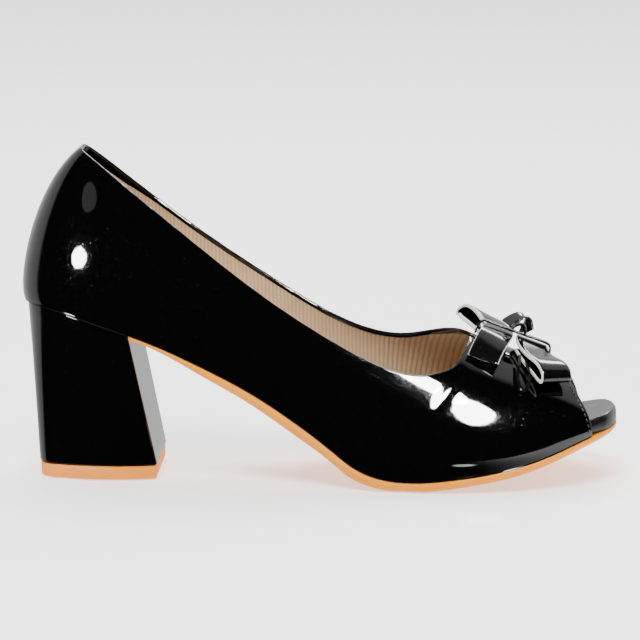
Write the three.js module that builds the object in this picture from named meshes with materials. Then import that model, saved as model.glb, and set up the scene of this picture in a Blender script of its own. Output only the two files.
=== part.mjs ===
// Open-toe block-heel pump with a ribbon bow, one right shoe standing empty.
// Millimetres. X runs from heel to toe, Y to the wearer's left, Z up, floor at Z = 0.
import * as THREE from 'three';

// Named sizes
const LENGTH = 230.6;
const BALL_WIDTH = 77;
const SEAT_HEIGHT = 69;
const COUNTER_HEIGHT = 127;
const WALL = 1.6;
const CLEAR = 0.3;
const INSOLE_THICKNESS = 3.5;
const INSOLE_TOE = 2.4;
const SOLE_LIP = 0.3;
const SOLE_BEVEL = 2;
const BREAST_X = -72.6;
const HEEL_BASE_FRONT = -61.9;
const HEEL_BASE_BACK = -108.3;
const HEEL_BASE_WIDTH = 40;
const HEEL_CORNER = 9;
const HEEL_SIDE_BOW = 2.8;
const HEEL_INSET = 1.2;
const LIFT_THICKNESS = 5.4;
const LIFT_INSET = 0.4;
const PEEP_AT = 0.915;
const PEEP_LAG = 0.022;
const RIBBON_WIDTH = 12.2;
const RIBBON_THICKNESS = 1.2;
const BOW_SETBACK = 15.4;
const BOW_Y = 1;
const BOW_REACH = 18.5;
const BAND_WIDTH = 2.6;
const BAND_THICKNESS = 0.8;
const KNOT_WIDTH = 6.2;
const HANGING_WIDTH = 1.2;

// Edge of the sole in plan. at: share of the way round from heel to toe tip;
// x: share of LENGTH from the heel; lateral, medial: shares of BALL_WIDTH.
const OUTLINE = [
  { at: 0.0, x: 0.003, lateral: 0.0, medial: 0.0 },
  { at: 0.045, x: 0.014, lateral: -0.147, medial: 0.147 },
  { at: 0.09, x: 0.048, lateral: -0.258, medial: 0.256 },
  { at: 0.143, x: 0.105, lateral: -0.319, medial: 0.314 },
  { at: 0.211, x: 0.182, lateral: -0.325, medial: 0.312 },
  { at: 0.302, x: 0.286, lateral: -0.305, medial: 0.271 },
  { at: 0.396, x: 0.393, lateral: -0.329, medial: 0.268 },
  { at: 0.483, x: 0.49, lateral: -0.39, medial: 0.312 },
  { at: 0.566, x: 0.584, lateral: -0.453, medial: 0.391 },
  { at: 0.649, x: 0.679, lateral: -0.488, medial: 0.469 },
  { at: 0.732, x: 0.773, lateral: -0.476, medial: 0.491 },
  { at: 0.808, x: 0.857, lateral: -0.42, medial: 0.45 },
  { at: 0.875, x: 0.925, lateral: -0.326, medial: 0.379 },
  { at: 0.923, x: 0.964, lateral: -0.23, medial: 0.3 },
  { at: 0.964, x: 0.989, lateral: -0.115, medial: 0.187 },
  { at: 1.0, x: 0.998, lateral: 0.034, medial: 0.034 },
];

// Heights of the sole along the shoe. x: share of LENGTH; top, bottom: shares of SEAT_HEIGHT.
const SOLE = [
  { x: 0.0, top: 0.977, bottom: 0.945 },
  { x: 0.05, top: 0.965, bottom: 0.93 },
  { x: 0.09, top: 0.934, bottom: 0.9 },
  { x: 0.136, top: 0.884, bottom: 0.85 },
  { x: 0.214, top: 0.791, bottom: 0.768 },
  { x: 0.305, top: 0.651, bottom: 0.601 },
  { x: 0.392, top: 0.504, bottom: 0.438 },
  { x: 0.465, top: 0.353, bottom: 0.279 },
  { x: 0.522, top: 0.219, bottom: 0.149 },
  { x: 0.556, top: 0.134, bottom: 0.063 },
  { x: 0.587, top: 0.083, bottom: 0.02 },
  { x: 0.621, top: 0.057, bottom: -0.001 },
  { x: 0.673, top: 0.052, bottom: -0.003 },
  { x: 0.739, top: 0.074, bottom: 0.024 },
  { x: 0.812, top: 0.115, bottom: 0.066 },
  { x: 0.89, top: 0.188, bottom: 0.141 },
  { x: 0.947, top: 0.257, bottom: 0.212 },
  { x: 1.0, top: 0.302, bottom: 0.262 },
];

// Sections of the last. at: as in OUTLINE; ridgeX: share of LENGTH from the heel;
// ridgeY, lateral, medial, rise, reach: shares of BALL_WIDTH; ridgeZ: share of COUNTER_HEIGHT.
// lateral and medial swell the side outward, rise stands it up, reach flattens the top.
const SECTIONS = [
  { at: 0.0, ridgeX: 0.153, ridgeY: 0.0, ridgeZ: 1.03, lateral: 0.052, medial: 0.052, rise: 0.14, reach: 0.342 },
  { at: 0.09, ridgeX: 0.167, ridgeY: 0.0, ridgeZ: 1.02, lateral: 0.06, medial: 0.06, rise: 0.2, reach: 0.31 },
  { at: 0.211, ridgeX: 0.222, ridgeY: 0.0, ridgeZ: 0.965, lateral: 0.09, medial: 0.1, rise: 0.36, reach: 0.286 },
  { at: 0.302, ridgeX: 0.3, ridgeY: 0.0, ridgeZ: 0.874, lateral: 0.117, medial: 0.15, rise: 0.39, reach: 0.35 },
  { at: 0.396, ridgeX: 0.4, ridgeY: 0.0, ridgeZ: 0.756, lateral: 0.13, medial: 0.18, rise: 0.36, reach: 0.39 },
  { at: 0.483, ridgeX: 0.496, ridgeY: 0.0, ridgeZ: 0.65, lateral: 0.117, medial: 0.165, rise: 0.335, reach: 0.39 },
  { at: 0.566, ridgeX: 0.591, ridgeY: 0.0, ridgeZ: 0.568, lateral: 0.1, medial: 0.12, rise: 0.31, reach: 0.365 },
  { at: 0.649, ridgeX: 0.682, ridgeY: 0.005, ridgeZ: 0.488, lateral: 0.08, medial: 0.08, rise: 0.27, reach: 0.31 },
  { at: 0.732, ridgeX: 0.769, ridgeY: 0.013, ridgeZ: 0.418, lateral: 0.065, medial: 0.065, rise: 0.22, reach: 0.28 },
  { at: 0.808, ridgeX: 0.842, ridgeY: 0.021, ridgeZ: 0.369, lateral: 0.055, medial: 0.055, rise: 0.18, reach: 0.247 },
  { at: 0.875, ridgeX: 0.89, ridgeY: 0.028, ridgeZ: 0.336, lateral: 0.048, medial: 0.048, rise: 0.145, reach: 0.22 },
  { at: 0.915, ridgeX: 0.914, ridgeY: 0.032, ridgeZ: 0.317, lateral: 0.043, medial: 0.043, rise: 0.117, reach: 0.205 },
];

// Height of the collar edge. x: share of LENGTH; lateral, medial: shares of COUNTER_HEIGHT.
const TOPLINE = [
  { x: 0.105, lateral: 0.999, medial: 0.999 },
  { x: 0.135, lateral: 0.963, medial: 0.95 },
  { x: 0.17, lateral: 0.915, medial: 0.893 },
  { x: 0.25, lateral: 0.804, medial: 0.772 },
  { x: 0.34, lateral: 0.678, medial: 0.651 },
  { x: 0.43, lateral: 0.56, medial: 0.543 },
  { x: 0.51, lateral: 0.468, medial: 0.456 },
  { x: 0.58, lateral: 0.398, medial: 0.405 },
  { x: 0.64, lateral: 0.356, medial: 0.394 },
  { x: 0.685, lateral: 0.347, medial: 0.414 },
  { x: 0.715, lateral: 0.357, medial: 0.43 },
  { x: 0.738, lateral: 0.384, medial: 0.434 },
  { x: 0.7524, lateral: 0.428, medial: 0.428 },
];

// Folded ribbon of the bow, the half nearer the heel. across: share of BOW_REACH toward
// the lateral side; along: share of RIBBON_WIDTH toward the toe; lift: height above the
// vamp as a share of RIBBON_THICKNESS; turn: degrees that the ribbon turns in plan.
const RIBBON_HEEL_HALF = [
  { across: 1.0, along: -0.9, lift: 1.9, turn: -38 },
  { across: 0.78, along: -0.8, lift: 3.1, turn: -33 },
  { across: 0.5, along: -0.67, lift: 4.4, turn: -24 },
  { across: 0.22, along: -0.56, lift: 4.3, turn: -11 },
  { across: 0, along: -0.53, lift: 4.2, turn: 0 },
  { across: -0.2, along: -0.6, lift: 4.8, turn: 13 },
  { across: -0.4, along: -0.83, lift: 6.3, turn: 24 },
  { across: -0.6, along: -1.15, lift: 7.9, turn: 32 },
  { across: -0.76, along: -1.4, lift: 8.2, turn: 35 },
  { across: -0.86, along: -1.52, lift: 6.8, turn: 30 },
  { across: -0.8, along: -1.4, lift: 4.8, turn: 33 },
  { across: -0.62, along: -1.18, lift: 3.2, turn: 32 },
  { across: -0.36, along: -0.78, lift: 1.7, turn: 20 },
  { across: -0.08, along: -0.55, lift: 1.0, turn: 6 },
];

// The half nearer the toe, seen turned half round: its loop falls on the lateral side.
const RIBBON_TOE_HALF = [
  { across: 1.0, along: -0.9, lift: 1.6, turn: -30 },
  { across: 0.75, along: -0.78, lift: 2.2, turn: -28 },
  { across: 0.48, along: -0.66, lift: 3.0, turn: -22 },
  { across: 0.22, along: -0.56, lift: 3.9, turn: -11 },
  { across: 0, along: -0.53, lift: 4.2, turn: 0 },
  { across: -0.22, along: -0.6, lift: 3.7, turn: 12 },
  { across: -0.48, along: -0.82, lift: 4.0, turn: 21 },
  { across: -0.72, along: -1.08, lift: 5.6, turn: 25 },
  { across: -0.9, along: -1.27, lift: 5.9, turn: 26 },
  { across: -0.98, along: -1.34, lift: 4.1, turn: 26 },
  { across: -0.91, along: -1.28, lift: 2.3, turn: 26 },
  { across: -0.73, along: -1.1, lift: 1.6, turn: 24 },
  { across: -0.46, along: -0.8, lift: 1.3, turn: 20 },
  { across: -0.1, along: -0.57, lift: 1.0, turn: 6 },
];

// Band that gathers the bow, the fold of its knot and the end that hangs below.
const BAND = [
  { across: 0, along: -1.14, lift: 0.8, turn: 90 },
  { across: 0, along: -1.14, lift: 3.2, turn: 90 },
  { across: 0, along: -1.07, lift: 5.3, turn: 90 },
  { across: 0, along: -0.86, lift: 5.9, turn: 90 },
  { across: 0, along: -0.4, lift: 5.85, turn: 90 },
  { across: 0, along: 0, lift: 5.8, turn: 90 },
  { across: 0, along: 0.4, lift: 5.85, turn: 90 },
  { across: 0, along: 0.86, lift: 5.9, turn: 90 },
  { across: 0, along: 1.07, lift: 5.3, turn: 90 },
  { across: 0, along: 1.14, lift: 3.2, turn: 90 },
  { across: 0, along: 1.14, lift: 0.8, turn: 90 },
];
const KNOT = [
  { across: 0.13, along: -0.38, lift: 7.8, turn: 126 },
  { across: 0.1, along: -0.31, lift: 8.9, turn: 126 },
  { across: 0.05, along: -0.17, lift: 10.4, turn: 125 },
  { across: 0.02, along: 0.01, lift: 11.5, turn: 124 },
  { across: 0.03, along: 0.18, lift: 10.8, turn: 123 },
  { across: 0.06, along: 0.27, lift: 9.2, turn: 122 },
  { across: 0.1, along: 0.34, lift: 7.8, turn: 121 },
];
const HANGING = [
  { across: 0.6, along: 0.22, lift: 3.0, turn: 0 },
  { across: 0.85, along: 0.22, lift: 2.6, turn: 3 },
  { across: 1.1, along: 0.22, lift: 1.6, turn: 16 },
  { across: 1.27, along: 0.4, lift: 1.0, turn: 84 },
  { across: 1.1, along: 0.58, lift: 1.3, turn: 160 },
  { across: 0.9, along: 0.54, lift: 2.2, turn: 184 },
  { across: 0.66, along: 0.44, lift: 2.8, turn: 188 },
];

// Natural cubic curve through table rows; a flat end has no slope there.
function curve(rows, key, name, flatStart, flatEnd) {
  const x = rows.map((row) => row[key]);
  const y = rows.map((row) => row[name]);
  const n = x.length;
  const low = new Array(n).fill(0);
  const mid = new Array(n).fill(1);
  const high = new Array(n).fill(0);
  const right = new Array(n).fill(0);
  for (let i = 1; i < n - 1; i++) {
    const a = x[i] - x[i - 1];
    const b = x[i + 1] - x[i];
    low[i] = a;
    mid[i] = 2 * (a + b);
    high[i] = b;
    right[i] = 6 * ((y[i + 1] - y[i]) / b - (y[i] - y[i - 1]) / a);
  }
  if (flatStart) {
    const a = x[1] - x[0];
    mid[0] = 2 * a;
    high[0] = a;
    right[0] = (6 * (y[1] - y[0])) / a;
  }
  if (flatEnd) {
    const a = x[n - 1] - x[n - 2];
    mid[n - 1] = 2 * a;
    low[n - 1] = a;
    right[n - 1] = (-6 * (y[n - 1] - y[n - 2])) / a;
  }
  for (let i = 1; i < n; i++) {
    const f = low[i] / mid[i - 1];
    mid[i] -= f * high[i - 1];
    right[i] -= f * right[i - 1];
  }
  const bend = new Array(n).fill(0);
  bend[n - 1] = right[n - 1] / mid[n - 1];
  for (let i = n - 2; i >= 0; i--) bend[i] = (right[i] - high[i] * bend[i + 1]) / mid[i];
  return (at) => {
    let i = 0;
    while (i < n - 2 && at > x[i + 1]) i++;
    const h = x[i + 1] - x[i];
    const slope = (y[i + 1] - y[i]) / h - (h * (2 * bend[i] + bend[i + 1])) / 6;
    const d = at - x[i];
    if (d < 0) return y[i] + slope * d;
    if (d > h) {
      const last = (y[i + 1] - y[i]) / h + (h * (bend[i] + 2 * bend[i + 1])) / 6;
      return y[i + 1] + last * (d - h);
    }
    return y[i] + slope * d + (bend[i] * d * d) / 2 + ((bend[i + 1] - bend[i]) * d * d * d) / (6 * h);
  };
}

const mix = (a, b, t) => a + (b - a) * t;
const smooth = (t) => {
  const c = Math.min(1, Math.max(0, t));
  return c * c * (3 - 2 * c);
};
const lengthX = (share) => (share - 0.5) * LENGTH;
const shareX = (x) => x / LENGTH + 0.5;
const throatX = lengthX(TOPLINE[TOPLINE.length - 1].x);
const bowX = throatX + BOW_SETBACK;

const outlineX = curve(OUTLINE, 'at', 'x', true, true);
const outlineLateral = curve(OUTLINE, 'at', 'lateral');
const outlineMedial = curve(OUTLINE, 'at', 'medial');
const soleTopShare = curve(SOLE, 'x', 'top');
const soleBottomShare = curve(SOLE, 'x', 'bottom');
const soleTop = (x) => SEAT_HEIGHT * soleTopShare(shareX(x));
const soleBottom = (x) => Math.max(0, SEAT_HEIGHT * soleBottomShare(shareX(x)));

// Point of the sole edge in plan. at is signed: plus is the lateral side, minus the medial.
function edge(at) {
  const a = Math.abs(at);
  const y = at >= 0 ? outlineLateral(a) : outlineMedial(a);
  return [lengthX(outlineX(a)), BALL_WIDTH * y];
}

// Sole edge moved outward by out in plan.
function edgeOffset(at, out) {
  const step = 0.002;
  const side = at >= 0 ? 1 : -1;
  const a = Math.abs(at);
  const p = edge(side * Math.max(0, a - step));
  const q = edge(side * Math.min(1, a + step));
  if (a < step) p[1] = -q[1];
  let nx = (q[1] - p[1]) * side;
  let ny = -(q[0] - p[0]) * side;
  if (a < step) {
    nx = -1;
    ny = 0;
  }
  if (a > 1 - step) {
    nx = 1;
    ny = 0;
  }
  const size = Math.hypot(nx, ny);
  const c = edge(at);
  return [c[0] + (out * nx) / size, c[1] + (out * ny) / size];
}

const section = {};
for (const name of ['ridgeX', 'ridgeY', 'ridgeZ', 'lateral', 'medial', 'rise', 'reach']) {
  section[name] = curve(SECTIONS, 'at', name, true, false);
}

const ridge = (at) => [
  lengthX(section.ridgeX(at)),
  BALL_WIDTH * section.ridgeY(at),
  COUNTER_HEIGHT * section.ridgeZ(at),
];

// Skin of the last: at goes round from the heel, up goes from the sole edge to the ridge.
function last(at, up) {
  const a = Math.abs(at);
  const lag = at < 0 ? PEEP_LAG * smooth((a - 0.7) / (PEEP_AT - 0.7)) : 0;
  const foot = edge(at < 0 ? at + lag : at);
  const base = [foot[0], foot[1], soleTop(foot[0]) + CLEAR];
  const top = ridge(a);
  const before = ridge(Math.max(0, a - 0.004));
  const after = ridge(a + 0.004);
  const slope = (after[2] - before[2]) / Math.max(0.05, after[0] - before[0]);
  const ex = foot[0] - top[0];
  const ey = foot[1] - top[1];
  const size = Math.hypot(ex, ey);
  const out = BALL_WIDTH * (at >= 0 ? section.lateral(a) : section.medial(a));
  const rise = BALL_WIDTH * section.rise(a);
  const reach = BALL_WIDTH * section.reach(a);
  const low = [base[0] + (out * ex) / size, base[1] + (out * ey) / size, base[2] + rise];
  const turn = 1 - smooth((a - 0.4) / 0.35);
  const hx = (turn * ex) / size;
  const hy = Math.sign(ey) * Math.sqrt(1 - hx * hx);
  const tilt = slope * smooth(a / 0.09);
  const high = [top[0] + reach * hx, top[1] + reach * hy, top[2] + reach * hx * tilt];
  const d = 1 - up;
  return base.map(
    (value, k) => d * d * d * value + 3 * d * d * up * low[k] + 3 * d * up * up * high[k] + up * up * up * top[k],
  );
}

// Outward direction square to the skin of the last.
function outward(at, up) {
  const step = 0.003;
  if (up === 1) {
    const before = ridge(Math.max(0, Math.abs(at) - 0.004));
    const after = ridge(Math.abs(at) + 0.004);
    const slope = (after[2] - before[2]) / (after[0] - before[0]);
    const length = Math.hypot(1, slope);
    return [-slope / length, 0, 1 / length];
  }
  const a0 = last(at - step, up);
  const a1 = last(at + step, up);
  const b0 = last(at, Math.max(0, up - step));
  const b1 = last(at, Math.min(1, up + step));
  const s = a1.map((value, k) => value - a0[k]);
  const t = b1.map((value, k) => value - b0[k]);
  const n = [s[1] * t[2] - s[2] * t[1], s[2] * t[0] - s[0] * t[2], s[0] * t[1] - s[1] * t[0]];
  const size = Math.hypot(n[0], n[1], n[2]);
  return n.map((value) => value / size);
}

// How far up the section the collar edge lies; 1 past the throat.
const collarZ = {
  lateral: curve(TOPLINE, 'x', 'lateral'),
  medial: curve(TOPLINE, 'x', 'medial'),
};
function collar(at) {
  const z = at >= 0 ? collarZ.lateral : collarZ.medial;
  if (ridge(Math.abs(at))[0] >= throatX) return 1;
  let low = 0.1;
  let high = 1;
  for (let i = 0; i < 40; i++) {
    const up = (low + high) / 2;
    const p = last(at, up);
    if (p[2] < COUNTER_HEIGHT * z(shareX(p[0]))) low = up;
    else high = up;
  }
  return (low + high) / 2;
}

// Station where the ridge reaches the throat.
function throatStation() {
  let low = 0.5;
  let high = 0.9;
  for (let i = 0; i < 50; i++) {
    const at = (low + high) / 2;
    if (ridge(at)[0] < throatX) low = at;
    else high = at;
  }
  return high;
}

// Closed skin gathered from rows of points; equal points are shared.
class Skin {
  constructor() {
    this.points = [];
    this.faces = [];
    this.found = new Map();
  }

  point(p) {
    const key = p.map((value) => Math.round(value * 2000)).join(' ');
    if (!this.found.has(key)) {
      this.found.set(key, this.points.length);
      this.points.push(p);
    }
    return this.found.get(key);
  }

  triangle(a, b, c) {
    if (a !== b && b !== c && c !== a) this.faces.push([a, b, c]);
  }

  quad(p, q, r, s) {
    const gap = (m, n) => Math.hypot(m[0] - n[0], m[1] - n[1], m[2] - n[2]);
    const [a, b, c, d] = [p, q, r, s].map((value) => this.point(value));
    if (gap(p, r) <= gap(q, s)) {
      this.triangle(a, b, c);
      this.triangle(a, c, d);
    } else {
      this.triangle(a, b, d);
      this.triangle(b, c, d);
    }
  }

  // Skin between rows; closed rows join their last point to their first.
  rows(list, closed) {
    for (let i = 0; i + 1 < list.length; i++) {
      const n = list[i].length;
      for (let k = 0; k < (closed ? n : n - 1); k++) {
        const m = (k + 1) % n;
        this.quad(list[i][k], list[i][m], list[i + 1][m], list[i + 1][k]);
      }
    }
  }

  fan(row, flip) {
    const n = row.length;
    const centre = [0, 1, 2].map((k) => row.reduce((sum, p) => sum + p[k], 0) / n);
    const c = this.point(centre);
    for (let k = 0; k < n; k++) {
      const a = this.point(row[k]);
      const b = this.point(row[(k + 1) % n]);
      if (flip) this.triangle(c, b, a);
      else this.triangle(c, a, b);
    }
  }

  mesh(name, colour, roughness, metalness) {
    const p = this.points;
    let volume = 0;
    for (const [a, b, c] of this.faces) {
      const [u, v, w] = [p[a], p[b], p[c]];
      volume += u[0] * (v[1] * w[2] - v[2] * w[1]);
      volume += u[1] * (v[2] * w[0] - v[0] * w[2]);
      volume += u[2] * (v[0] * w[1] - v[1] * w[0]);
    }
    const faces = volume < 0 ? this.faces.map(([a, b, c]) => [a, c, b]) : this.faces;
    const geometry = new THREE.BufferGeometry();
    geometry.setAttribute('position', new THREE.Float32BufferAttribute(p.flat(), 3));
    geometry.setIndex(faces.flat());
    geometry.computeVertexNormals();
    const material = new THREE.MeshStandardMaterial({ color: colour, roughness, metalness });
    const mesh = new THREE.Mesh(geometry, material);
    mesh.name = name;
    return mesh;
  }
}

// Stations round one side of the upper, closer together at the throat and the heel.
function upperStations() {
  const throat = throatStation();
  const list = [];
  const heel = 0.2;
  const turn = 0.55;
  for (let i = 0; i < 12; i++) list.push((heel * i) / 12);
  for (let i = 0; i < 10; i++) list.push(mix(heel, turn, i / 10));
  for (let i = 0; i < 14; i++) list.push(throat - (throat - turn) * ((14 - i) / 14) ** 2);
  for (let i = 0; i <= 9; i++) list.push(mix(throat, PEEP_AT, i / 9));
  return { list, throat };
}

// Hollow upper: one wall round the foot, open at the collar, the toe and underneath.
function upper() {
  const skin = new Skin();
  const { list, throat } = upperStations();
  const rows = 11;
  const column = (at) => {
    const top = collar(at);
    const outer = [];
    const inner = [];
    for (let k = 0; k <= rows; k++) {
      const up = top * (1 - (1 - k / rows) ** 1.15);
      const p = last(at, up);
      const n = outward(at, up);
      outer.push(p);
      inner.push(p.map((value, m) => value - WALL * n[m]));
    }
    return { outer, inner };
  };
  const sides = [1, -1].map((side) => list.map((at) => column(side * at)));
  sides.forEach((side, which) => {
    side.forEach((here, i) => {
      if (i === 0) return;
      const before = side[i - 1];
      const pair = which === 0 ? [before, here] : [here, before];
      skin.rows([pair[0].outer, pair[1].outer], false);
      skin.rows([pair[1].inner, pair[0].inner], false);
      const [a, b] = pair;
      skin.quad(a.outer[0], b.outer[0], b.inner[0], a.inner[0]);
      if (list[i] <= throat + 1e-9) {
        skin.quad(b.outer[rows], a.outer[rows], a.inner[rows], b.inner[rows]);
      }
    });
  });
  const end = list.length - 1;
  for (let k = 0; k < rows; k++) {
    const near = sides[0][end];
    const far = sides[1][end];
    skin.quad(near.outer[k], near.outer[k + 1], near.inner[k + 1], near.inner[k]);
    skin.quad(far.inner[k], far.inner[k + 1], far.outer[k + 1], far.outer[k]);
  }
  return skin.mesh('upper', '#0a0a0b', 0.12, 0);
}

// Closed slab from loops round the shoe, each loop a list of stations at one level.
function slab(name, loops, colour, roughness) {
  const skin = new Skin();
  skin.rows(loops, true);
  return skin.mesh(name, colour, roughness, 0);
}

// Middle of the outline in plan, straight toward the heel.
function midline(x) {
  let low = 0;
  let high = 1;
  for (let i = 0; i < 30; i++) {
    const at = (low + high) / 2;
    if (lengthX(outlineX(at)) < x) low = at;
    else high = at;
  }
  return ((BALL_WIDTH * (outlineLateral(low) + outlineMedial(low))) / 2) * smooth((x + 20) / 60);
}

// Middle of the shoe facing a station, held back from both ends.
function spine(at, from, to) {
  const x = Math.min(to, Math.max(from, lengthX(outlineX(Math.abs(at)))));
  return [x, midline(x)];
}

// Signed stations once round the shoe, from the heel along the lateral side.
function loopStations(start, count) {
  const side = [];
  for (let i = 0; i <= count; i++) side.push(mix(start, 1, i / count));
  return [...side, ...side.slice(1, -1).reverse().map((at) => -at), ...(start > 0 ? [-start] : [])];
}

// Outsole of the shank and forefoot; it ends at the breast of the heel.
function outsole() {
  const back = BREAST_X + CLEAR + 0.2;
  let start = 0.1;
  while (lengthX(outlineX(start)) < back) start += 0.0005;
  const stations = loopStations(start, 46);
  const level = (inset, drop) =>
    stations.map((at) => {
      const p = edgeOffset(at, SOLE_LIP - inset);
      const x = Math.max(back, p[0]);
      return [x, p[1], mix(soleTop(x), soleBottom(x), drop)];
    });
  const inside = (share, drop) =>
    stations.map((at) => {
      const p = edgeOffset(at, SOLE_LIP - (drop ? SOLE_BEVEL : 0));
      const c = spine(at, back + 8, lengthX(0.93));
      const x = Math.max(back, mix(c[0], p[0], share));
      return [x, mix(c[1], p[1], share), mix(soleTop(x), soleBottom(x), drop)];
    });
  const loops = [
    inside(0, 0),
    inside(0.5, 0),
    level(0, 0),
    level(-0.15, 0.35),
    level(0.5, 0.75),
    level(SOLE_BEVEL, 1),
    inside(0.5, 1),
    inside(0, 1),
  ];
  return slab('outsole', loops, '#dfa24b', 0.45);
}

// Insole inside the wall; past the toe opening it spreads out to the sole edge.
function insole() {
  const stations = loopStations(0, 54);
  const inset = (at) => mix(WALL + CLEAR + 0.25, -0.3, smooth((Math.abs(at) - PEEP_AT - 0.004) / 0.04));
  const height = (x) => INSOLE_THICKNESS + INSOLE_TOE * smooth((x - 70) / 36);
  const level = (more, share) =>
    stations.map((at) => {
      const p = edgeOffset(at, -inset(at) - more);
      return [p[0], p[1], soleTop(p[0]) + CLEAR + share * height(p[0])];
    });
  const inside = (share, top) =>
    stations.map((at) => {
      const p = edgeOffset(at, -inset(at) - (top ? 1.6 : 0));
      const c = spine(at, lengthX(0.08), lengthX(0.93));
      const x = mix(c[0], p[0], share);
      return [x, mix(c[1], p[1], share), soleTop(x) + CLEAR + (top ? height(x) : 0)];
    });
  const loops = [
    inside(0, false),
    inside(0.5, false),
    level(0, 0),
    level(0, 0.55),
    level(0.5, 0.86),
    level(1.6, 1),
    inside(0.5, true),
    inside(0, true),
  ];
  return slab('insole', loops, '#121213', 0.3);
}

// Ring of the block heel in plan: share 1 is the seat, share 0 the base.
function heelRing(share, inset) {
  const ring = [];
  let corner = 0.1;
  while (lengthX(outlineX(corner)) < BREAST_X) corner += 0.0005;
  const half = HEEL_BASE_WIDTH / 2 - inset;
  const front = HEEL_BASE_FRONT - inset;
  const back = HEEL_BASE_BACK + inset;
  const radius = HEEL_CORNER - inset;
  const base = LIFT_THICKNESS + CLEAR;
  const put = (top, low, side) => {
    const z = soleTop(top[0]);
    ring.push([mix(low[0], top[0], share), mix(low[1] * side, top[1], share), mix(base, z, share)]);
  };
  const seat = (at) => {
    const p = edgeOffset(at, -HEEL_INSET);
    return [Math.min(BREAST_X, p[0]), p[1]];
  };
  const halfRing = (side) => {
    const wide = Math.abs(seat(side * corner)[1]);
    for (let i = 0; i < 4; i++) {
      put([BREAST_X, (-side * wide * i) / 4], [front, (-half * i) / 4], side);
    }
    for (let i = 0; i < 8; i++) {
      const t = i / 8;
      put(seat(side * mix(corner, 0.085, t)), [mix(front, back + radius, t), -half - HEEL_SIDE_BOW * Math.sin(Math.PI * t) ** 0.8], side);
    }
    for (let i = 0; i < 8; i++) {
      const t = i / 8;
      const angle = (t * Math.PI) / 2;
      const low = [back + radius - radius * Math.sin(angle), -half + radius - radius * Math.cos(angle)];
      put(seat(side * mix(0.085, 0.03, t)), low, side);
    }
    for (let i = 0; i <= 3; i++) {
      const t = i / 3;
      put(seat(side * mix(0.03, 0, t)), [back, mix(-half + radius, 0, t)], side);
    }
  };
  halfRing(1);
  const lateral = ring.splice(0);
  halfRing(-1);
  const medial = ring.splice(0).slice(1, -1).reverse();
  return [...lateral, ...medial];
}

// Block heel, its top shaped to the seat and its base flat.
function heelBlock() {
  const rings = [0, 0.25, 0.5, 0.75, 1].map((share) => heelRing(share, 0));
  const seat = (share) =>
    rings[4].map((p, k, ring) => {
      const across = ring[(ring.length - k) % ring.length];
      const middle = Math.min(-80, Math.max(-98, (p[0] + across[0]) / 2));
      const x = mix(middle, p[0], share);
      return [x, p[1] * share, soleTop(x)];
    });
  const skin = new Skin();
  skin.fan(rings[0], true);
  skin.rows([...rings, seat(0.5), seat(0)], true);
  return skin.mesh('heel_block', '#0a0a0b', 0.14, 0);
}

// Top piece under the heel.
function heelLift() {
  const ring = (z, inset) => heelRing(0, inset).map((p) => [p[0], p[1], z]);
  const skin = new Skin();
  const rings = [ring(0, LIFT_INSET + 0.5), ring(0.5, LIFT_INSET), ring(LIFT_THICKNESS, LIFT_INSET)];
  skin.fan(rings[0], true);
  skin.rows(rings, true);
  skin.fan(rings[2], false);
  return skin.mesh('heel_top_piece', '#eba768', 0.5, 0);
}

// Point of the vamp above a place in plan.
function vamp(x, y) {
  let at = 0.8;
  const centre = BALL_WIDTH * section.ridgeY(at);
  const side = y <= centre ? 1 : -1;
  let up = 0.9;
  for (let i = 0; i < 30; i++) {
    const step = 1e-4;
    const p = last(side * at, up);
    const a = last(side * (at + step), up);
    const b = last(side * at, up - step);
    const m = [(a[0] - p[0]) / step, (p[0] - b[0]) / step, (a[1] - p[1]) / step, (p[1] - b[1]) / step];
    const det = m[0] * m[3] - m[1] * m[2];
    const dx = x - p[0];
    const dy = y - p[1];
    at = Math.min(0.96, Math.max(0.6, at + (0.8 * (m[3] * dx - m[1] * dy)) / det));
    up = Math.min(1, Math.max(0.2, up + (0.8 * (m[0] * dy - m[2] * dx)) / det));
  }
  return last(side * at, up);
}

// Height of the vamp above a place in plan, and the way out of it.
function vampFrame(x, y) {
  const c = vamp(x, y);
  const a = vamp(x + 1, y);
  const b = vamp(x, y + 1);
  const s = [a[0] - c[0], a[1] - c[1], a[2] - c[2]];
  const t = [b[0] - c[0], b[1] - c[1], b[2] - c[2]];
  const n = [s[1] * t[2] - s[2] * t[1], s[2] * t[0] - s[0] * t[2], s[0] * t[1] - s[1] * t[0]];
  const size = Math.hypot(n[0], n[1], n[2]);
  return { c, n: n.map((value) => value / size) };
}

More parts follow.
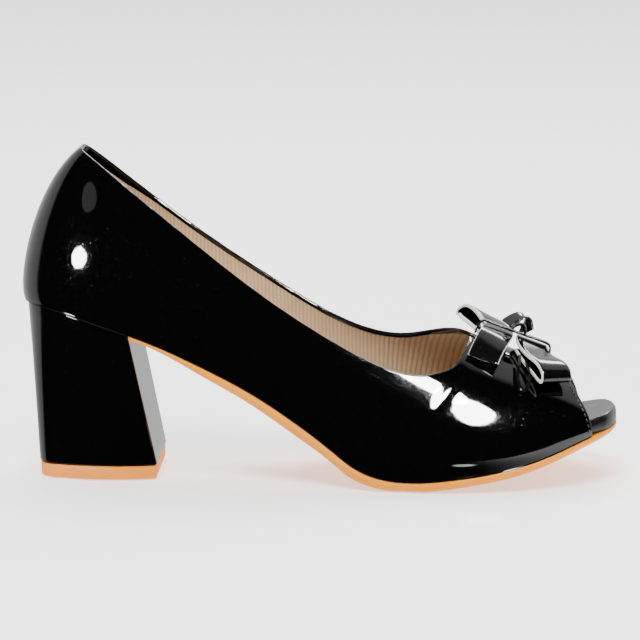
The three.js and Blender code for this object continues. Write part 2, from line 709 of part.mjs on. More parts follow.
// Strip of ribbon following a table over the vamp; facing -1 turns it half round.
function strip(name, table, facing, width, thickness, count, colour) {
  const rows = table.map((row, i) => ({ ...row, i }));
  const at = {};
  for (const key of ['across', 'along', 'lift', 'turn']) at[key] = curve(rows, 'i', key);
  const middle = [];
  const sideways = [];
  for (let k = 0; k <= count; k++) {
    const i = ((table.length - 1) * k) / count;
    const x = bowX + facing * RIBBON_WIDTH * at.along(i);
    const y = BOW_Y - facing * BOW_REACH * at.across(i);
    const angle = (at.turn(i) * Math.PI) / 180;
    const { c, n } = vampFrame(x, y);
    middle.push(c.map((value, m) => value + n[m] * RIBBON_THICKNESS * at.lift(i)));
    const w = [Math.cos(angle), Math.sin(angle), 0];
    w[2] = -(w[0] * n[0] + w[1] * n[1]) / n[2];
    sideways.push(new THREE.Vector3(...w).normalize());
  }
  const loops = middle.map((p, k) => {
    const before = new THREE.Vector3(...middle[Math.max(0, k - 1)]);
    const after = new THREE.Vector3(...middle[Math.min(count, k + 1)]);
    const ahead = after.sub(before).normalize();
    const up = new THREE.Vector3().crossVectors(ahead, sideways[k]).normalize();
    const across = new THREE.Vector3().crossVectors(up, ahead).normalize();
    const corner = (a, b) => p.map((value, m) => {
      const w = across.getComponent(m) * a * (width / 2);
      return value + w + up.getComponent(m) * b * (thickness / 2);
    });
    return [corner(-1, -1), corner(0, -1), corner(1, -1), corner(1, 1), corner(0, 1), corner(-1, 1)];
  });
  const skin = new Skin();
  skin.fan(loops[0], true);
  skin.rows(loops, true);
  skin.fan(loops[count], false);
  return skin.mesh(name, colour, 0.2, 0);
}

const shoe = new THREE.Group();
shoe.name = 'open_toe_block_heel_pump';
shoe.add(upper());
shoe.add(outsole());
shoe.add(insole());
shoe.add(heelBlock());
shoe.add(heelLift());
shoe.add(strip('bow_heel_half', RIBBON_HEEL_HALF, 1, RIBBON_WIDTH, RIBBON_THICKNESS, 44, '#0d0d0e'));
shoe.add(strip('bow_toe_half', RIBBON_TOE_HALF, -1, RIBBON_WIDTH, RIBBON_THICKNESS, 44, '#0d0d0e'));
shoe.add(strip('bow_band', BAND, 1, BAND_WIDTH, BAND_THICKNESS, 32, '#0a0a0b'));
shoe.add(strip('bow_knot', KNOT, 1, KNOT_WIDTH, BAND_THICKNESS, 20, '#0a0a0b'));
shoe.add(strip('bow_hanging_loop', HANGING, 1, HANGING_WIDTH, BAND_THICKNESS, 24, '#0a0a0b'));
export default shoe;
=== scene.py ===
"""Looks of a right open-toe block-heel pump: black patent, ribbon bow, tan sole, ribbed beige lining."""
import math
import bpy
import numpy as np
from mathutils import Matrix, Vector, kdtree


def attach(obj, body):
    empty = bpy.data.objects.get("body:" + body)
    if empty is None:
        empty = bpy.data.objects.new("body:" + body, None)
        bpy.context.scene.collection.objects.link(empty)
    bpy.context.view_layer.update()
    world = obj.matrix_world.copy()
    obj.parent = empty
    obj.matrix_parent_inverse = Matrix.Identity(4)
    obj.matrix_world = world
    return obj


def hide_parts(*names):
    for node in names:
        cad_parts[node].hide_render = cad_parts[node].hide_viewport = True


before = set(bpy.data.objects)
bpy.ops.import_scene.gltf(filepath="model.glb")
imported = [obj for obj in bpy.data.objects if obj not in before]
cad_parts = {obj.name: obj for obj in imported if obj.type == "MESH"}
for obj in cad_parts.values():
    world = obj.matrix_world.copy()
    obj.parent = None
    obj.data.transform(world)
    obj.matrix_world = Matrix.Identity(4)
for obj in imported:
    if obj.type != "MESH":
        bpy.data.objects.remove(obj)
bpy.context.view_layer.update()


# Named sizes, millimetres
LENGTH = 230.6
BALL_WIDTH = 77
SEAT_HEIGHT = 69
COUNTER_HEIGHT = 127
WALL = 1.6
CLEAR = 0.3
INSOLE_THICKNESS = 3.5
INSOLE_TOE = 2.4
SOLE_LIP = 0.3
SOLE_BEVEL = 2
BREAST_X = -72.6
HEEL_BASE_FRONT = -61.9
HEEL_BASE_BACK = -108.3
HEEL_BASE_WIDTH = 40
HEEL_CORNER = 9
HEEL_SIDE_BOW = 2.8
HEEL_INSET = 1.2
LIFT_THICKNESS = 5.4
LIFT_INSET = 0.4
PEEP_AT = 0.915
PEEP_LAG = 0.022
THROAT_X = 58.2
RIBBON_WIDTH = 12.2
RIBBON_THICKNESS = 1.2
BOW_X = 73.6
BOW_Y = 1
BOW_REACH = 18.5
BAND_WIDTH = 2.6
BAND_THICKNESS = 0.8
KNOT_WIDTH = 6.2
HANGING_WIDTH = 1.2


def table(names, rows):
    """Columns of a table by name."""
    return dict(zip(names.split(), np.array(rows, float).T))


OUTLINE = table("at x lateral medial", [
    (0.0, 0.003, 0.0, 0.0),
    (0.045, 0.014, -0.147, 0.147),
    (0.09, 0.048, -0.258, 0.256),
    (0.143, 0.105, -0.319, 0.314),
    (0.211, 0.182, -0.325, 0.312),
    (0.302, 0.286, -0.305, 0.271),
    (0.396, 0.393, -0.329, 0.268),
    (0.483, 0.49, -0.39, 0.312),
    (0.566, 0.584, -0.453, 0.391),
    (0.649, 0.679, -0.488, 0.469),
    (0.732, 0.773, -0.476, 0.491),
    (0.808, 0.857, -0.42, 0.45),
    (0.875, 0.925, -0.326, 0.379),
    (0.923, 0.964, -0.23, 0.3),
    (0.964, 0.989, -0.115, 0.187),
    (1.0, 0.998, 0.034, 0.034),
])
SOLE = table("x top bottom", [
    (0.0, 0.977, 0.945),
    (0.05, 0.965, 0.93),
    (0.09, 0.934, 0.9),
    (0.136, 0.884, 0.85),
    (0.214, 0.791, 0.768),
    (0.305, 0.651, 0.601),
    (0.392, 0.504, 0.438),
    (0.465, 0.353, 0.279),
    (0.522, 0.219, 0.149),
    (0.556, 0.134, 0.063),
    (0.587, 0.083, 0.02),
    (0.621, 0.057, -0.001),
    (0.673, 0.052, -0.003),
    (0.739, 0.074, 0.024),
    (0.812, 0.115, 0.066),
    (0.89, 0.188, 0.141),
    (0.947, 0.257, 0.212),
    (1.0, 0.302, 0.262),
])
SECTIONS = table("at ridgeX ridgeY ridgeZ lateral medial rise reach", [
    (0.0, 0.153, 0.0, 1.03, 0.052, 0.052, 0.14, 0.342),
    (0.09, 0.167, 0.0, 1.02, 0.06, 0.06, 0.2, 0.31),
    (0.211, 0.222, 0.0, 0.965, 0.09, 0.1, 0.36, 0.286),
    (0.302, 0.3, 0.0, 0.874, 0.117, 0.15, 0.39, 0.35),
    (0.396, 0.4, 0.0, 0.756, 0.13, 0.18, 0.36, 0.39),
    (0.483, 0.496, 0.0, 0.65, 0.117, 0.165, 0.335, 0.39),
    (0.566, 0.591, 0.0, 0.568, 0.1, 0.12, 0.31, 0.365),
    (0.649, 0.682, 0.005, 0.488, 0.08, 0.08, 0.27, 0.31),
    (0.732, 0.769, 0.013, 0.418, 0.065, 0.065, 0.22, 0.28),
    (0.808, 0.842, 0.021, 0.369, 0.055, 0.055, 0.18, 0.247),
    (0.875, 0.89, 0.028, 0.336, 0.048, 0.048, 0.145, 0.22),
    (0.915, 0.914, 0.032, 0.317, 0.043, 0.043, 0.117, 0.205),
])
TOPLINE = table("x lateral medial", [
    (0.105, 0.999, 0.999),
    (0.135, 0.963, 0.95),
    (0.17, 0.915, 0.893),
    (0.25, 0.804, 0.772),
    (0.34, 0.678, 0.651),
    (0.43, 0.56, 0.543),
    (0.51, 0.468, 0.456),
    (0.58, 0.398, 0.405),
    (0.64, 0.356, 0.394),
    (0.685, 0.347, 0.414),
    (0.715, 0.357, 0.43),
    (0.738, 0.384, 0.434),
    (0.7524, 0.428, 0.428),
])
RIBBON_HEEL_HALF = table("across along lift turn", [
    (1.0, -0.9, 1.9, -38),
    (0.78, -0.8, 3.1, -33),
    (0.5, -0.67, 4.4, -24),
    (0.22, -0.56, 4.3, -11),
    (0, -0.53, 4.2, 0),
    (-0.2, -0.6, 4.8, 13),
    (-0.4, -0.83, 6.3, 24),
    (-0.6, -1.15, 7.9, 32),
    (-0.76, -1.4, 8.2, 35),
    (-0.86, -1.52, 6.8, 30),
    (-0.8, -1.4, 4.8, 33),
    (-0.62, -1.18, 3.2, 32),
    (-0.36, -0.78, 1.7, 20),
    (-0.08, -0.55, 1.0, 6),
])
RIBBON_TOE_HALF = table("across along lift turn", [
    (1.0, -0.9, 1.6, -30),
    (0.75, -0.78, 2.2, -28),
    (0.48, -0.66, 3.0, -22),
    (0.22, -0.56, 3.9, -11),
    (0, -0.53, 4.2, 0),
    (-0.22, -0.6, 3.7, 12),
    (-0.48, -0.82, 4.0, 21),
    (-0.72, -1.08, 5.6, 25),
    (-0.9, -1.27, 5.9, 26),
    (-0.98, -1.34, 4.1, 26),
    (-0.91, -1.28, 2.3, 26),
    (-0.73, -1.1, 1.6, 24),
    (-0.46, -0.8, 1.3, 20),
    (-0.1, -0.57, 1.0, 6),
])
BAND = table("across along lift turn", [
    (0, -1.14, 0.8, 90),
    (0, -1.14, 3.2, 90),
    (0, -1.07, 5.3, 90),
    (0, -0.86, 5.9, 90),
    (0, -0.4, 5.85, 90),
    (0, 0, 5.8, 90),
    (0, 0.4, 5.85, 90),
    (0, 0.86, 5.9, 90),
    (0, 1.07, 5.3, 90),
    (0, 1.14, 3.2, 90),
    (0, 1.14, 0.8, 90),
])
KNOT = table("across along lift turn", [
    (0.13, -0.38, 7.8, 126),
    (0.1, -0.31, 8.9, 126),
    (0.05, -0.17, 10.4, 125),
    (0.02, 0.01, 11.5, 124),
    (0.03, 0.18, 10.8, 123),
    (0.06, 0.27, 9.2, 122),
    (0.1, 0.34, 7.8, 121),
])
HANGING = table("across along lift turn", [
    (0.6, 0.22, 3.0, 0),
    (0.85, 0.22, 2.6, 3),
    (1.1, 0.22, 1.6, 16),
    (1.27, 0.4, 1.0, 84),
    (1.1, 0.58, 1.3, 160),
    (0.9, 0.54, 2.2, 184),
    (0.66, 0.44, 2.8, 188),
])

def curve(rows, key, name, flat_start=False, flat_end=False):
    """Natural cubic curve through table rows; a flat end has no slope there."""
    x, y = rows[key], rows[name]
    n = len(x)
    gap, rise = np.diff(x), np.diff(y)
    pull, right = np.eye(n), np.zeros(n)
    for i in range(1, n - 1):
        pull[i, i - 1 : i + 2] = gap[i - 1], 2 * (gap[i - 1] + gap[i]), gap[i]
        right[i] = 6 * (rise[i] / gap[i] - rise[i - 1] / gap[i - 1])
    if flat_start:
        pull[0, :2] = 2 * gap[0], gap[0]
        right[0] = 6 * rise[0] / gap[0]
    if flat_end:
        pull[-1, -2:] = gap[-1], 2 * gap[-1]
        right[-1] = -6 * rise[-1] / gap[-1]
    bend = np.linalg.solve(pull, right)

    def at(value):
        value = np.asarray(value, float)
        i = np.clip(np.searchsorted(x, value, side="left") - 1, 0, n - 2)
        h, d = gap[i], value - x[i]
        slope = rise[i] / h - h * (2 * bend[i] + bend[i + 1]) / 6
        inside = y[i] + slope * d + bend[i] * d * d / 2 + (bend[i + 1] - bend[i]) * d**3 / (6 * h)
        end = rise[i] / h + h * (bend[i] + 2 * bend[i + 1]) / 6
        return np.where(d < 0, y[i] + slope * d, np.where(d > h, y[i + 1] + end * (d - h), inside))

    return at


def mix(a, b, t):
    return a + (b - a) * t


def smooth(t):
    c = np.clip(t, 0, 1)
    return c * c * (3 - 2 * c)


def length_x(share):
    return (share - 0.5) * LENGTH


def share_x(x):
    return x / LENGTH + 0.5


outline_x = curve(OUTLINE, "at", "x", True, True)
outline_lateral = curve(OUTLINE, "at", "lateral")
outline_medial = curve(OUTLINE, "at", "medial")
sole_top_share = curve(SOLE, "x", "top")
sole_bottom_share = curve(SOLE, "x", "bottom")
section = {
    name: curve(SECTIONS, "at", name, True)
    for name in ("ridgeX", "ridgeY", "ridgeZ", "lateral", "medial", "rise", "reach")
}
collar_z = {side: curve(TOPLINE, "x", side) for side in ("lateral", "medial")}


def sole_top(x):
    return SEAT_HEIGHT * sole_top_share(share_x(x))


def sole_bottom(x):
    return np.maximum(0, SEAT_HEIGHT * sole_bottom_share(share_x(x)))


def stack(*parts):
    return np.stack(np.broadcast_arrays(*parts), -1)


def unit(v):
    return v / np.linalg.norm(v, axis=-1, keepdims=True)


def edge(at):
    """Sole edge in plan. at is signed: plus is the lateral side, minus the medial."""
    at = np.asarray(at, float)
    a = np.abs(at)
    y = np.where(at >= 0, outline_lateral(a), outline_medial(a))
    return stack(length_x(outline_x(a)), BALL_WIDTH * y)


def edge_offset(at, out):
    """Sole edge moved outward by out in plan."""
    at = np.asarray(at, float)
    step = 0.002
    side = np.where(at >= 0, 1, -1)
    a = np.abs(at)
    p = edge(side * np.maximum(0, a - step))
    q = edge(side * np.minimum(1, a + step))
    nx, ny = (q[..., 1] - p[..., 1]) * side, -(q[..., 0] - p[..., 0]) * side
    nx = np.where(a < step, -1, np.where(a > 1 - step, 1, nx))
    ny = np.where((a < step) | (a > 1 - step), 0, ny)
    size = np.hypot(nx, ny)
    c = edge(at)
    return stack(c[..., 0] + out * nx / size, c[..., 1] + out * ny / size)


def ridge(at):
    return stack(
        length_x(section["ridgeX"](at)),
        BALL_WIDTH * section["ridgeY"](at),
        COUNTER_HEIGHT * section["ridgeZ"](at),
    )


def last(at, up):
    """Skin of the last: at goes round from the heel, up from the sole edge to the ridge."""
    at, up = np.broadcast_arrays(np.asarray(at, float), np.asarray(up, float))
    a = np.abs(at)
    lag = np.where(at < 0, PEEP_LAG * smooth((a - 0.7) / (PEEP_AT - 0.7)), 0)
    foot = edge(at + lag)
    base = stack(foot[..., 0], foot[..., 1], sole_top(foot[..., 0]) + CLEAR)
    top = ridge(a)
    before, after = ridge(np.maximum(0, a - 0.004)), ridge(a + 0.004)
    slope = (after[..., 2] - before[..., 2]) / np.maximum(0.05, after[..., 0] - before[..., 0])
    ex, ey = foot[..., 0] - top[..., 0], foot[..., 1] - top[..., 1]
    size = np.hypot(ex, ey)
    out = BALL_WIDTH * np.where(at >= 0, section["lateral"](a), section["medial"](a))
    rise = BALL_WIDTH * section["rise"](a)
    reach = BALL_WIDTH * section["reach"](a)
    low = base + stack(out * ex / size, out * ey / size, rise)
    turn = 1 - smooth((a - 0.4) / 0.35)
    hx = turn * ex / size
    hy = np.sign(ey) * np.sqrt(1 - hx * hx)
    tilt = slope * smooth(a / 0.09)
    high = top + stack(reach * hx, reach * hy, reach * hx * tilt)
    d, up = (1 - up)[..., None], up[..., None]
    return d**3 * base + 3 * d * d * up * low + 3 * d * up * up * high + up**3 * top


def outward(at, up):
    """Outward direction square to the skin of the last."""
    at, up = np.broadcast_arrays(np.asarray(at, float), np.asarray(up, float))
    step = 0.003
    s = last(at + step, up) - last(at - step, up)
    t = last(at, np.minimum(1, up + step)) - last(at, np.maximum(0, up - step))
    n = unit(np.cross(s, t))
    rise = ridge(np.abs(at) + 0.004) - ridge(np.maximum(0, np.abs(at) - 0.004))
    crest = unit(stack(-rise[..., 2], 0, rise[..., 0]))
    return np.where((up >= 1)[..., None], crest, n)


def collar(at):
    """How far up the section the collar edge lies; 1 past the throat."""
    at = np.asarray(at, float)
    low, high = np.full(at.shape, 0.1), np.full(at.shape, 1.0)
    for _ in range(40):
        up = (low + high) / 2
        p = last(at, up)
        share = share_x(p[..., 0])
        z = COUNTER_HEIGHT * np.where(at >= 0, collar_z["lateral"](share), collar_z["medial"](share))
        below = p[..., 2] < z
        low, high = np.where(below, up, low), np.where(below, high, up)
    return np.where(ridge(np.abs(at))[..., 0] >= THROAT_X, 1.0, (low + high) / 2)


def throat_station():
    low, high = 0.5, 0.9
    for _ in range(50):
        at = (low + high) / 2
        if ridge(at)[0] < THROAT_X:
            low = at
        else:
            high = at
    return high


def vamp(x, y):
    """Points of the vamp above places in plan."""
    x, y = np.broadcast_arrays(np.asarray(x, float), np.asarray(y, float))
    side = np.where(y <= BALL_WIDTH * section["ridgeY"](0.8), 1, -1)
    at, up = np.full(x.shape, 0.8), np.full(x.shape, 0.9)
    for _ in range(30):
        step = 1e-4
        p = last(side * at, up)
        a = (last(side * (at + step), up) - p) / step
        b = (p - last(side * at, up - step)) / step
        det = a[..., 0] * b[..., 1] - b[..., 0] * a[..., 1]
        dx, dy = x - p[..., 0], y - p[..., 1]
        at = np.clip(at + 0.8 * (b[..., 1] * dx - b[..., 0] * dy) / det, 0.6, 0.96)
        up = np.clip(up + 0.8 * (a[..., 0] * dy - a[..., 1] * dx) / det, 0.2, 1)
    return last(side * at, up)


def vamp_frame(x, y):
    """Points of the vamp above places in plan, and the way out of it."""
    c = vamp(x, y)
    return c, unit(np.cross(vamp(x + 1, y) - c, vamp(x, y + 1) - c))


def ribbon_path(rows, facing, count):
    """Middle line, sideways and upward directions of a strip over the vamp."""
    rows = dict(rows, i=np.arange(len(rows["turn"]), dtype=float))
    i = (len(rows["i"]) - 1) * np.arange(count + 1) / count
    across, along, lift, turn = (curve(rows, "i", key)(i) for key in ("across", "along", "lift", "turn"))
    c, n = vamp_frame(BOW_X + facing * RIBBON_WIDTH * along, BOW_Y - facing * BOW_REACH * across)
    middle = c + n * (RIBBON_THICKNESS * lift)[:, None]
    angle = np.radians(turn)
    w = stack(np.cos(angle), np.sin(angle), -(np.cos(angle) * n[:, 0] + np.sin(angle) * n[:, 1]) / n[:, 2])
    before = np.vstack([middle[:1], middle[:-1]])
    after = np.vstack([middle[1:], middle[-1:]])
    ahead = unit(after - before)
    up = unit(np.cross(ahead, unit(w)))
    return middle, unit(np.cross(up, ahead)), up, ahead


# Materials
class Nodes:
    """A material with one Principled shader and a short way to add nodes."""

    def __init__(self, name, colour, **sockets):
        self.material = bpy.data.materials.new(name)
        self.material.use_nodes = True
        self.tree = self.material.node_tree
        self.shader = self.tree.nodes["Principled BSDF"]
        self.shader.inputs["Base Color"].default_value = (*colour, 1)
        for socket, value in sockets.items():
            self.shader.inputs[socket.replace("_", " ")].default_value = value

    def node(self, kind, inputs=None, **settings):
        made = self.tree.nodes.new(kind)
        for key, value in settings.items():
            setattr(made, key, value)
        for key, value in (inputs or {}).items():
            self.feed(made.inputs[key], value)
        return made

    def feed(self, socket, value):
        if isinstance(value, bpy.types.NodeSocket):
            self.tree.links.new(value, socket)
        else:
            socket.default_value = value

    def math(self, operation, *values, clamp=False):
        made = self.node("ShaderNodeMath", operation=operation, use_clamp=clamp)
        for k, value in enumerate(values):
            self.feed(made.inputs[k], value)
        return made.outputs[0]

    def place(self):
        return self.node("ShaderNodeTexCoord").outputs["Object"]

    def noise(self, scale, detail=3, rough=0.5, where=None):
        inputs = {"Vector": where or self.place(), "Scale": scale, "Detail": detail, "Roughness": rough}
        return self.node("ShaderNodeTexNoise", inputs).outputs["Fac"]

    def number(self, name):
        return self.node("ShaderNodeAttribute", attribute_name=name).outputs["Fac"]

    def range(self, value, low, high, to_low=0.0, to_high=1.0):
        return self.node("ShaderNodeMapRange", {"Value": value, "From Min": low, "From Max": high,
                                                "To Min": to_low, "To Max": to_high}).outputs[0]

    def blend(self, amount, first, second):
        made = self.node("ShaderNodeMix", data_type="RGBA")
        self.feed(made.inputs["Factor"], amount)
        self.feed(made.inputs[6], first if isinstance(first, bpy.types.NodeSocket) else (*first, 1))
        self.feed(made.inputs[7], second if isinstance(second, bpy.types.NodeSocket) else (*second, 1))
        return made.outputs[2]

    def colour(self, value):
        self.feed(self.shader.inputs["Base Color"], value)

    def roughness(self, value):
        self.feed(self.shader.inputs["Roughness"], value)

    def bump(self, height, distance, strength=1.0, under=None):
        inputs = {"Height": height, "Distance": distance / 1000, "Strength": strength}
        if under is not None:
            inputs["Normal"] = under
        made = self.node("ShaderNodeBump", inputs)
        self.feed(self.shader.inputs["Normal"], made.outputs[0])
        return made.outputs[0]


def make_patent(name, colour=(0.001, 0.001, 0.0012), roughness=0.035, ripple=0.05):
    """Lacquered leather: mirror coat, a faint ripple and a few fine specks."""
    m = Nodes(name, colour, IOR=1.5)
    low = m.noise(55, 2)
    fine = m.noise(900, 2)
    speck = m.range(m.noise(2600, 1, 0.3), 0.72, 0.78)
    m.colour(m.blend(m.math("MULTIPLY", speck, 0.6), colour, (0.012, 0.012, 0.013)))
    m.roughness(m.math("ADD", roughness, m.math("ADD", m.math("MULTIPLY", m.range(fine, 0.45, 0.75), 0.03),
                                               m.math("MULTIPLY", speck, 0.25))))
    first = m.bump(low, ripple, 1.0)
    m.bump(fine, 0.004, 1.0, first)
    return m.material


patent = make_patent("patent_black")
heel_patent = make_patent("patent_heel", roughness=0.045, ripple=0.03)
ribbon_patent = make_patent("patent_ribbon", (0.002, 0.002, 0.0023), 0.14, 0.03)


def make_footbed():
    m = Nodes("footbed_patent", (0.006, 0.006, 0.0065), IOR=1.5)
    fine = m.noise(1400, 3)
    m.roughness(m.range(m.noise(70), 0.3, 0.7, 0.2, 0.3))
    m.bump(fine, 0.01)
    return m.material


footbed = make_footbed()


def make_sole(name, colour, dark, gloss):
    """Tan sole: fine streaks along the edge, slight mottling and rubbed spots."""
    m = Nodes(name, colour, IOR=1.5, Specular_IOR_Level=0.2)
    place = m.place()
    squash = m.node("ShaderNodeMapping", {"Vector": place, "Scale": (0.35, 1, 3.2)}).outputs[0]
    streak = m.noise(420, 4, 0.6, squash)
    mottle = m.noise(45, 3)
    amount = m.math("ADD", m.math("MULTIPLY", streak, 0.5), m.math("MULTIPLY", mottle, 0.5))
    m.colour(m.blend(m.range(amount, 0.35, 0.65), dark, colour))
    m.roughness(m.range(streak, 0.3, 0.7, gloss, gloss + 0.15))
    m.bump(streak, 0.02)
    return m.material


sole_rubber = make_sole("sole_tan", (0.86, 0.30, 0.006), (0.76, 0.25, 0.004), 0.36)
top_rubber = make_sole("top_piece_tan", (0.90, 0.30, 0.03), (0.80, 0.25, 0.02), 0.42)


def make_textile():
    """Ribbed lining: painted shade darkens the grooves between the ribs and lightens the rib crests, with
    fine weave and slight mottling.
    """
    m = Nodes("lining_ribbed", (0.5, 0.35, 0.2), Sheen_Weight=0.25, Sheen_Roughness=0.5, IOR=1.45)
    crest, rib, climb = m.number("crest"), m.number("rib"), m.number("climb")
    along = m.math("MULTIPLY", rib, 6.0)
    upward = m.math("MULTIPLY", climb, 2.4)
    where = m.node("ShaderNodeCombineXYZ", {"X": along, "Y": upward}).outputs[0]
    weave = m.noise(1.0, 2, 0.6, where)
    mottle = m.noise(80, 3)
    # Painted shade: the crest share lightens the rib crests, and the grooves keep the darker colour (0.55,
    # 0.34, 0.17); the weave is mixed in.
    light = m.math("ADD", m.math("MULTIPLY", crest, 0.7), m.math("MULTIPLY", weave, 0.35), clamp=True)
    tone = m.blend(m.range(mottle, 0.35, 0.65), (0.86, 0.60, 0.35), (0.93, 0.67, 0.41))
    m.colour(m.blend(light, (0.55, 0.34, 0.17), tone))
    m.roughness(0.85)
    m.bump(weave, 0.06)
    return m.material


textile = make_textile()


def make_cut_edge():
    m = Nodes("ribbon_cut_edge", (0.72, 0.74, 0.70), IOR=1.45)
    fleck = m.noise(1500, 3)
    m.colour(m.blend(m.range(fleck, 0.3, 0.7), (0.62, 0.63, 0.58), (0.78, 0.79, 0.75)))
    m.roughness(m.range(fleck, 0.3, 0.7, 0.45, 0.65))
    m.bump(fleck, 0.02)
    return m.material


cut_edge = make_cut_edge()


def make_thread():
    m = Nodes("stitch_thread", (0.03, 0.03, 0.032), IOR=1.45)
    twist = m.noise(2200, 2)
    m.colour(m.blend(m.range(twist, 0.35, 0.65), (0.004, 0.004, 0.004), (0.03, 0.03, 0.032)))
    m.roughness(0.45)
    m.bump(twist, 0.03)
    return m.material


thread = make_thread()


# Mesh making. Shapes are worked out in millimetres and made in metres.
def make(name, points, faces, materials, marks=None):
    """A mesh piece that rides on the shoe."""
    mesh = bpy.data.meshes.new(name)
    mesh.from_pydata((np.asarray(points, float) / 1000).tolist(), [], [tuple(map(int, f)) for f in faces])
    for material in materials:
        mesh.materials.append(material)
    if marks is not None:
        mesh.polygons.foreach_set("material_index", np.asarray(marks, np.int32))
    mesh.polygons.foreach_set("use_smooth", np.ones(len(mesh.polygons), bool))
    mesh.update()
    piece = bpy.data.objects.new(name, mesh)
    bpy.context.scene.collection.objects.link(piece)
    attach(piece, "root")
    return piece


def attribute(piece, name, values):
    """A number at each point of a piece, for its material to read."""
    layer = piece.data.attributes.new(name, "FLOAT", "POINT")
    layer.data.foreach_set("value", np.asarray(values, np.float32))


def weld(points, faces, marks=None, gap=0.004):
    """Shares equal points and drops faces left with fewer than three, and returns the kept numbers too."""
    points = np.asarray(points, float)
    keys = np.round(points / gap).astype(np.int64)
    _, first, back = np.unique(keys, axis=0, return_index=True, return_inverse=True)
    back = back.ravel()
    kept, kept_marks = [], []
    for index, face in enumerate(faces):
        ring = []
        for k in face:
            if not ring or ring[-1] != back[k]:
                ring.append(back[k])
        if ring[0] == ring[-1]:
            ring.pop()
        if len(set(ring)) > 2:
            kept.append(ring)
            kept_marks.append(0 if marks is None else marks[index])
    used, inverse = np.unique([k for ring in kept for k in ring], return_inverse=True)
    sizes = np.cumsum([len(ring) for ring in kept])[:-1]
    return points[first[used]], np.split(inverse, sizes), kept_marks, first[used]


def grid(rows, columns, closed=False, start=0):
    """Quads between rows of points; a closed grid joins its last column to its first."""
    i, k = np.meshgrid(np.arange(rows - 1), np.arange(columns if closed else columns - 1), indexing="ij")
    m = (k + 1) % columns
    a, b = start + i * columns, start + (i + 1) * columns
    return np.stack([a + k, a + m, b + m, b + k], -1).reshape(-1, 4).tolist()


def outward_faces(points, faces):
    """Faces of a closed mesh turned to face outward."""
    volume = 0.0
    for f in faces:
        p = points[list(f)]
        for k in range(1, len(f) - 1):
            volume += np.dot(p[0], np.cross(p[k], p[k + 1]))
    return faces if volume > 0 else [list(f)[::-1] for f in faces]


def thicken(front, back, faces):
    """Closed sheet between two equal skins."""
    count = len(front)
    edges = {}
    for f in faces:
        for a, b in zip(f, list(f[1:]) + [f[0]]):
            edges[(a, b)] = edges.get((a, b), 0) + 1
    rim = [(b, a, a + count, b + count) for a, b in edges if (b, a) not in edges]
    rear = [[k + count for k in f][::-1] for f in faces]
    return np.vstack([front, back]), [list(f) for f in faces] + rear + [list(r) for r in rim]


def lofted(name, loops, materials, row_marks=None):
    """Closed piece from closed loops of points, its ends filled or shrunk to a line."""
    count = len(loops[0])
    points, faces = np.vstack(loops), grid(len(loops), count, closed=True)
    marks = None if row_marks is None else np.repeat(row_marks, count)
    points, faces, marks, kept = weld(points, faces, marks)
    faces = outward_faces(points, faces)
    return make(name, points, faces, materials, marks), kept


def capped(name, loops, materials, marks=None):
    """Closed piece from closed loops with a face over each end."""
    count = len(loops[0])
    faces = grid(len(loops), count, closed=True)
    marks = list(np.zeros(len(faces), int) if marks is None else marks)
    faces += [list(range(count))[::-1], list(range((len(loops) - 1) * count, len(loops) * count))]
    points = np.vstack(loops)
    return make(name, points, outward_faces(points, faces), materials, marks + [0, 0])


def bevel(piece, width, segments, angle=35):
    """Rounds a piece's sharp edges and keeps the result in its mesh."""
    step = piece.modifiers.new("edges", "BEVEL")
    step.width, step.segments, step.angle_limit = width / 1000, segments, math.radians(angle)
    step.harden_normals = False
    bake_modifiers(piece)


def bake_modifiers(piece):
    graph = bpy.context.evaluated_depsgraph_get()
    mesh = bpy.data.meshes.new_from_object(piece.evaluated_get(graph))
    piece.modifiers.clear()
    piece.data = mesh


# The upper: patent outside, folded over its edges, and the ribbed lining inside.
EDGE = WALL / 2
LINING_RIB = 0.26
RIB_PITCH = 1.5
RIB_PITCH_VAMP = 3.1
BEND_DEPTH, BEND_WIDTH, BEND_LENGTH = 0.2, 1.5, 8
RIB_SWEEP = 0.055
STITCH_RINGS, STITCH_SIDES = 9, 8
STITCH_INSET, STITCH_PITCH, STITCH_LENGTH, STITCH_RADIUS = 2.0, 2.2, 1.6, 0.24
throat = throat_station()


def spread(start, stop, count, power=1.0):
    """Values from start to stop, closer together near stop where power is over 1."""
    t = np.arange(count) / count
    return stop - (stop - start) * (1 - t) ** power


one_side = np.concatenate([
    spread(0, 0.2, 60),
    spread(0.2, 0.55, 80),
    spread(0.55, throat, 110, 2.6),
    throat + (0.8 - throat) * (np.arange(40) / 40) ** 2.2,
    spread(0.8, PEEP_AT, 40, 1.6),
    [PEEP_AT],
])
stations = np.concatenate([-one_side[::-1], one_side[1:]])
climb = np.concatenate([spread(0, 0.93, 44), spread(0.93, 1, 18, 1.5), [1]])
tops = collar(stations)
STATION, UP = np.meshgrid(stations, climb, indexing="ij")
UP = UP * tops[:, None]
skin = last(STATION, UP)
skin_out = outward(STATION, UP)

collar_line = np.linspace(-throat, throat, 1600)
collar_line = last(collar_line, collar(collar_line))
peep_up = np.linspace(0, 1, 300)
peep_line = np.vstack([last(PEEP_AT, peep_up), last(-PEEP_AT, peep_up)])


def nearness(points, line):
    """Distance from each point to a line of points, in millimetres."""
    tree = kdtree.KDTree(len(line))
    for k, p in enumerate(line):
        tree.insert(p, k)
    tree.balance()
    flat = points.reshape(-1, 3)
    return np.array([tree.find(p)[2] for p in flat]).reshape(points.shape[:-1])


def edge_distances(points, at, up, top):
    """Distances to the collar edge and to the peep edge."""
    to_collar = nearness(points, collar_line)
    to_peep = nearness(points, peep_line)
    to_collar[(up >= top - 1e-9) & (np.abs(at) <= throat)] = 0
    to_peep[np.abs(at) >= PEEP_AT - 1e-9] = 0
    return to_collar, to_peep


def rounding(distance):
    """How far the folded edge turns in from the flat wall."""
    t = 1 - np.clip(distance / EDGE, 0, 1)
    return EDGE * (1 - np.sqrt(1 - t * t))


